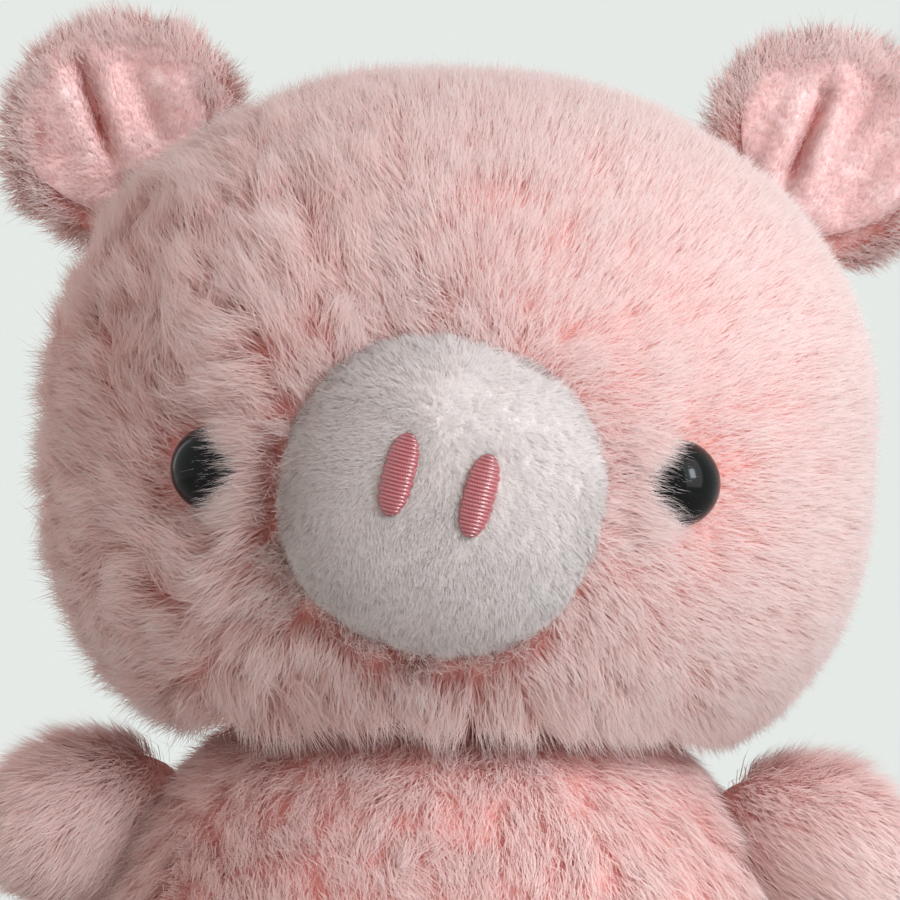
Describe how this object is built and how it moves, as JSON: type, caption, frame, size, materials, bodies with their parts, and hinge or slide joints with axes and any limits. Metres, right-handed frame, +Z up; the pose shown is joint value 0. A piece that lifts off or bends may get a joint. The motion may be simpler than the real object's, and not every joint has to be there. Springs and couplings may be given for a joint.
{
  "type": "plush toy",
  "caption": "Sitting plush pig, 23 cm tall: pink long-pile skins, white velour snout, stitched nostrils, glossy eyes, and a head, ears, arms, legs and tail that move.",
  "frame": {"origin": "Middle of the flat seat, on the table.", "axes": "+Z up, -Y the way the pig faces, +X the pig's left."},
  "size_m": [0.171, 0.1593, 0.2305],
  "materials": {
    "plush": "matte",
    "velour_white": "matte",
    "velour_pink": "satin",
    "satin": "satin",
    "thread": "satin",
    "fibre": "matte",
    "pellets": "matte",
    "eye": "gloss",
    "washer": "satin"
  },
  "bodies": {
    "torso": {"torso_skin": "plush", "torso_filling": "fibre", "pellet_bag": "pellets"},
    "neck": {"neck_seam_thread": "thread"},
    "head": {"head_skin": "plush", "head_filling": "fibre", "snout_cover": "velour_white", "snout_filling": "fibre", "nostril_left": "satin", "nostril_right": "satin", "eye_left": "eye", "eye_right": "eye", "eye_washer_left": "washer", "eye_washer_right": "washer"},
    "ear_left": {"ear_back_left": "plush", "ear_lining_left": "velour_pink"},
    "ear_right": {"ear_back_right": "plush", "ear_lining_right": "velour_pink"},
    "arm_left": {"arm_left_skin": "plush", "arm_left_filling": "fibre"},
    "arm_right": {"arm_right_skin": "plush", "arm_right_filling": "fibre"},
    "leg_left": {"leg_left_skin": "plush", "leg_left_filling": "fibre"},
    "leg_right": {"leg_right_skin": "plush", "leg_right_filling": "fibre"},
    "tail": {"tail": "plush"}
  },
  "joints": [
    {"name": "neck_turn", "type": "hinge", "parent": "torso", "child": "neck", "pos_m": [0, 0, 0.0585], "axis": [0, 0, 1], "range_deg": [-20, 20], "stiffness_Nm_per_rad": 0.6},
    {"name": "neck_nod", "type": "hinge", "parent": "neck", "child": "head", "pos_m": [0, 0, 0.0585], "axis": [1, 0, 0], "range_deg": [-8, 8], "stiffness_Nm_per_rad": 0.6},
    {"name": "ear_left_fold", "type": "hinge", "parent": "head", "child": "ear_left", "pos_m": [0.05658, 0.016, 0.19564], "axis": [0.891, 0, -0.454], "range_deg": [-20, 20], "stiffness_Nm_per_rad": 0.05},
    {"name": "ear_right_fold", "type": "hinge", "parent": "head", "child": "ear_right", "pos_m": [-0.05658, 0.016, 0.19564], "axis": [0.891, 0, 0.454], "range_deg": [-20, 20], "stiffness_Nm_per_rad": 0.05},
    {"name": "arm_left_swing", "type": "hinge", "parent": "torso", "child": "arm_left", "pos_m": [0.05285, -0.001, 0.0897], "axis": [0.3681, 0, -0.9298], "range_deg": [-15, 25], "stiffness_Nm_per_rad": 0.05},
    {"name": "arm_right_swing", "type": "hinge", "parent": "torso", "child": "arm_right", "pos_m": [-0.05285, -0.001, 0.0897], "axis": [0.3681, 0, 0.9298], "range_deg": [-15, 25], "stiffness_Nm_per_rad": 0.05},
    {"name": "leg_left_lift", "type": "hinge", "parent": "torso", "child": "leg_left", "pos_m": [0.0275, -0.04217, 0.0181], "axis": [-0.9563, -0.2924, 0], "range_deg": [-15, 25], "stiffness_Nm_per_rad": 0.08},
    {"name": "leg_right_lift", "type": "hinge", "parent": "torso", "child": "leg_right", "pos_m": [-0.0275, -0.04217, 0.0181], "axis": [-0.9563, 0.2924, 0], "range_deg": [-15, 25], "stiffness_Nm_per_rad": 0.08},
    {"name": "tail_wag", "type": "hinge", "parent": "torso", "child": "tail", "pos_m": [0, 0.05644, 0.036], "axis": [0, 0, 1], "range_deg": [-15, 15], "stiffness_Nm_per_rad": 0.005}
  ]
}
